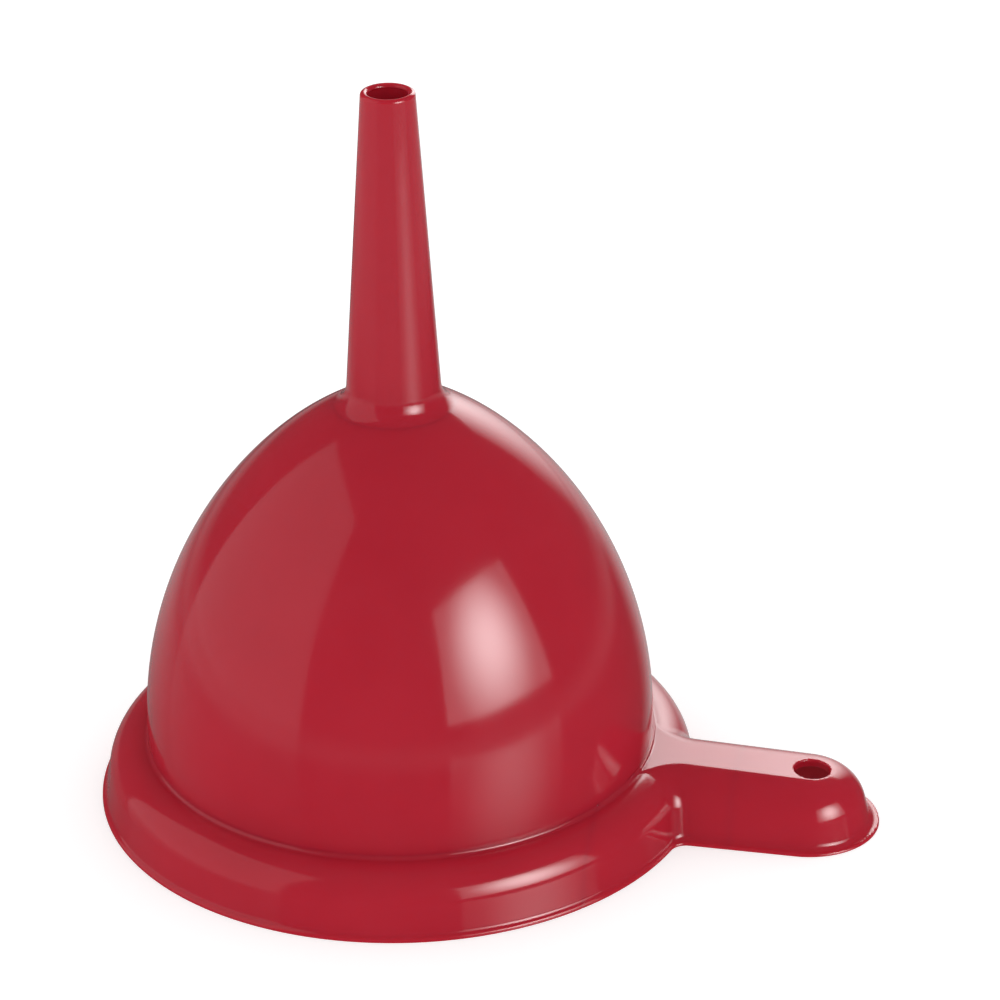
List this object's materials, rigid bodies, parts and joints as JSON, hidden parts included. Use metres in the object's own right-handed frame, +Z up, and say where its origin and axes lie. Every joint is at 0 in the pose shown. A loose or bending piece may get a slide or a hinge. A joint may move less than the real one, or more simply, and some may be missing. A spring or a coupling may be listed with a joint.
{
  "type": "funnel",
  "caption": "Kitchen funnel with a domed bowl, a tapered spout, a rolled rim and a hollow hanging handle with a hole at its end.",
  "frame": {"origin": "centre of the mouth, in the plane of the lip that the funnel stands on", "axes": "+Z up the funnel's axis towards the spout's tip, +X along the handle, +Y completes a right-handed frame"},
  "size_m": [0.1559, 0.12, 0.1462],
  "materials": {
    "moulding": "glossy deep red injection-moulded plastic, lightly polished, opaque"
  },
  "bodies": {
    "root": {"bowl": "moulding", "spout": "moulding", "rim": "moulding", "handle": "moulding"}
  },
  "joints": []
}
